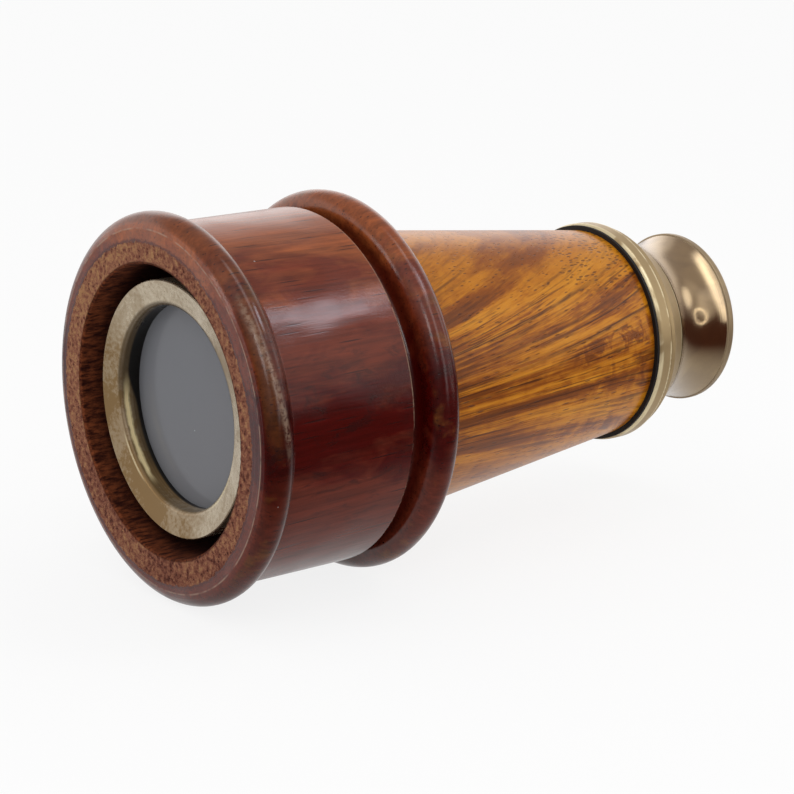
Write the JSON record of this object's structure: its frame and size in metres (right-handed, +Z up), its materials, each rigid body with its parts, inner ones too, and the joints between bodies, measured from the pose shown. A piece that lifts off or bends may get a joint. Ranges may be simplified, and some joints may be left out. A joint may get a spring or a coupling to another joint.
{
  "type": "spyglass",
  "caption": "Pocket draw-tube spyglass with a turned dark wooden hood, a tapered light wooden barrel, brass draws, a recessed objective bezel and a waisted eyecup.",
  "frame": {"origin": "bottom centre of the closed instrument's bounding box, on the surface that its two hood beads lie on", "axes": "+X along the optical axis from the objective to the eyecup, +Z up, +Y to the right of someone looking through it"},
  "size_m": [0.1176, 0.066, 0.066],
  "materials": {
    "dark_wood": "gloss lacquer over dark red-brown hardwood, with a bare front face",
    "honey_wood": "satin lacquer over honey-coloured hardwood with dark streaks",
    "worn_brass": "turned, pale and lightly tarnished",
    "bezel_brass": "dull, mottled by tarnish",
    "dull_brass": "matt, unpolished inner metal",
    "black_metal": "matt black",
    "black_rubber": "matt black",
    "grey_felt": "pressed wool felt",
    "lens_glass": "polished, uncoated"
  },
  "bodies": {
    "barrel": {"hood": "dark_wood", "barrel": "honey_wood", "barrel_liner": "dull_brass", "objective_cell": "dull_brass", "objective_lens": "lens_glass", "objective_bezel": "bezel_brass", "ferrule_gasket": "black_rubber", "barrel_ferrule": "worn_brass", "barrel_felt": "grey_felt"},
    "first_draw": {"first_draw_tube": "worn_brass", "first_draw_stop_ring": "dull_brass", "first_draw_collar": "worn_brass", "first_draw_felt": "grey_felt"},
    "second_draw": {"second_draw_tube": "worn_brass", "second_draw_stop_ring": "dull_brass", "erector_cell": "dull_brass", "erector_front_lens": "lens_glass", "erector_front_ring": "dull_brass", "erector_stop": "black_metal", "erector_rear_lens": "lens_glass", "erector_rear_ring": "dull_brass", "eyepiece_cell": "dull_brass", "field_lens": "lens_glass", "lens_spacer": "dull_brass", "eye_lens": "lens_glass", "eyepiece_ring": "dull_brass", "eyecup": "worn_brass"}
  },
  "joints": [
    {"name": "first_draw_slide", "type": "slide", "parent": "barrel", "child": "first_draw", "axis": [1, 0, 0], "range_m": [0, 0.0485]},
    {"name": "second_draw_slide", "type": "slide", "parent": "first_draw", "child": "second_draw", "axis": [1, 0, 0], "range_m": [0, 0.0538]}
  ]
}
